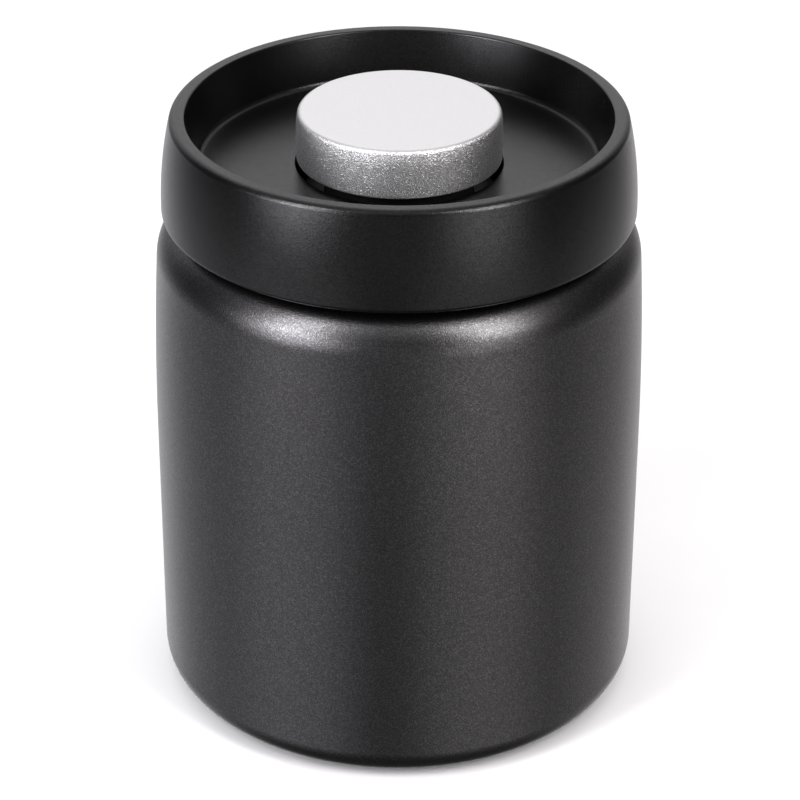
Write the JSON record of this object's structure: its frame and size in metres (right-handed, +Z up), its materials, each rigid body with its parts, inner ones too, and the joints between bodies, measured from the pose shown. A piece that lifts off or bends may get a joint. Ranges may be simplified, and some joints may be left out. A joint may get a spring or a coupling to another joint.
{
  "type": "vacuum seal canister",
  "caption": "Steel storage canister with a plug lid: pressing its round button pumps air out, turning the button lets air back in, and the lid lifts off.",
  "frame": {"origin": "middle of the foot, on the surface that the canister stands on", "axes": "+Z up along the canister's axis, -Y towards the picture's camera"},
  "size_m": [0.105, 0.105, 0.1334],
  "materials": {
    "powder_coat": "dark gunmetal powder coat with a fine metallic sparkle",
    "matte_lid": "satin black with a fine grain",
    "blasted_aluminium": "bead blasted, clear",
    "black_moulding": "moulded black",
    "silicone": "dark grey silicone",
    "bare_steel": "bright stainless",
    "filter_mesh": "woven stainless mesh"
  },
  "bodies": {
    "canister": {"canister_shell": "powder_coat", "base_pad": "silicone"},
    "lid": {"lid_shell": "matte_lid", "plug_ring": "black_moulding", "plug_screws": "bare_steel", "neck_gasket": "silicone", "pump_body": "black_moulding", "plate_seal": "silicone", "pump_screws": "bare_steel", "stop_ring": "black_moulding", "inlet_flap": "silicone", "spring_seat": "bare_steel", "return_spring": "bare_steel", "vent_seal": "silicone", "filter_screen": "filter_mesh", "filter_grille": "black_moulding"},
    "release": {"release_disc": "black_moulding", "hub_seal": "silicone", "hub_clip": "bare_steel"},
    "button": {"plunger": "black_moulding", "drive_stem": "bare_steel", "piston_seal": "silicone", "seal_retainer": "black_moulding", "button_cap": "blasted_aluminium"}
  },
  "joints": [
    {"name": "lid_lift", "type": "slide", "parent": "canister", "child": "lid", "axis": [0, 0, 1], "range_m": [0, 0.1]},
    {"name": "release_turn", "type": "hinge", "parent": "lid", "child": "release", "pos_m": [0, 0, 0.1], "axis": [0, 0, 1], "range_deg": [0, 60]},
    {"name": "button_press", "type": "slide", "parent": "release", "child": "button", "axis": [0, 0, -1], "range_m": [0, 0.0075], "stiffness_N_per_m": 1200, "springref_m": -0.006, "deforming": ["return_spring"]}
  ]
}
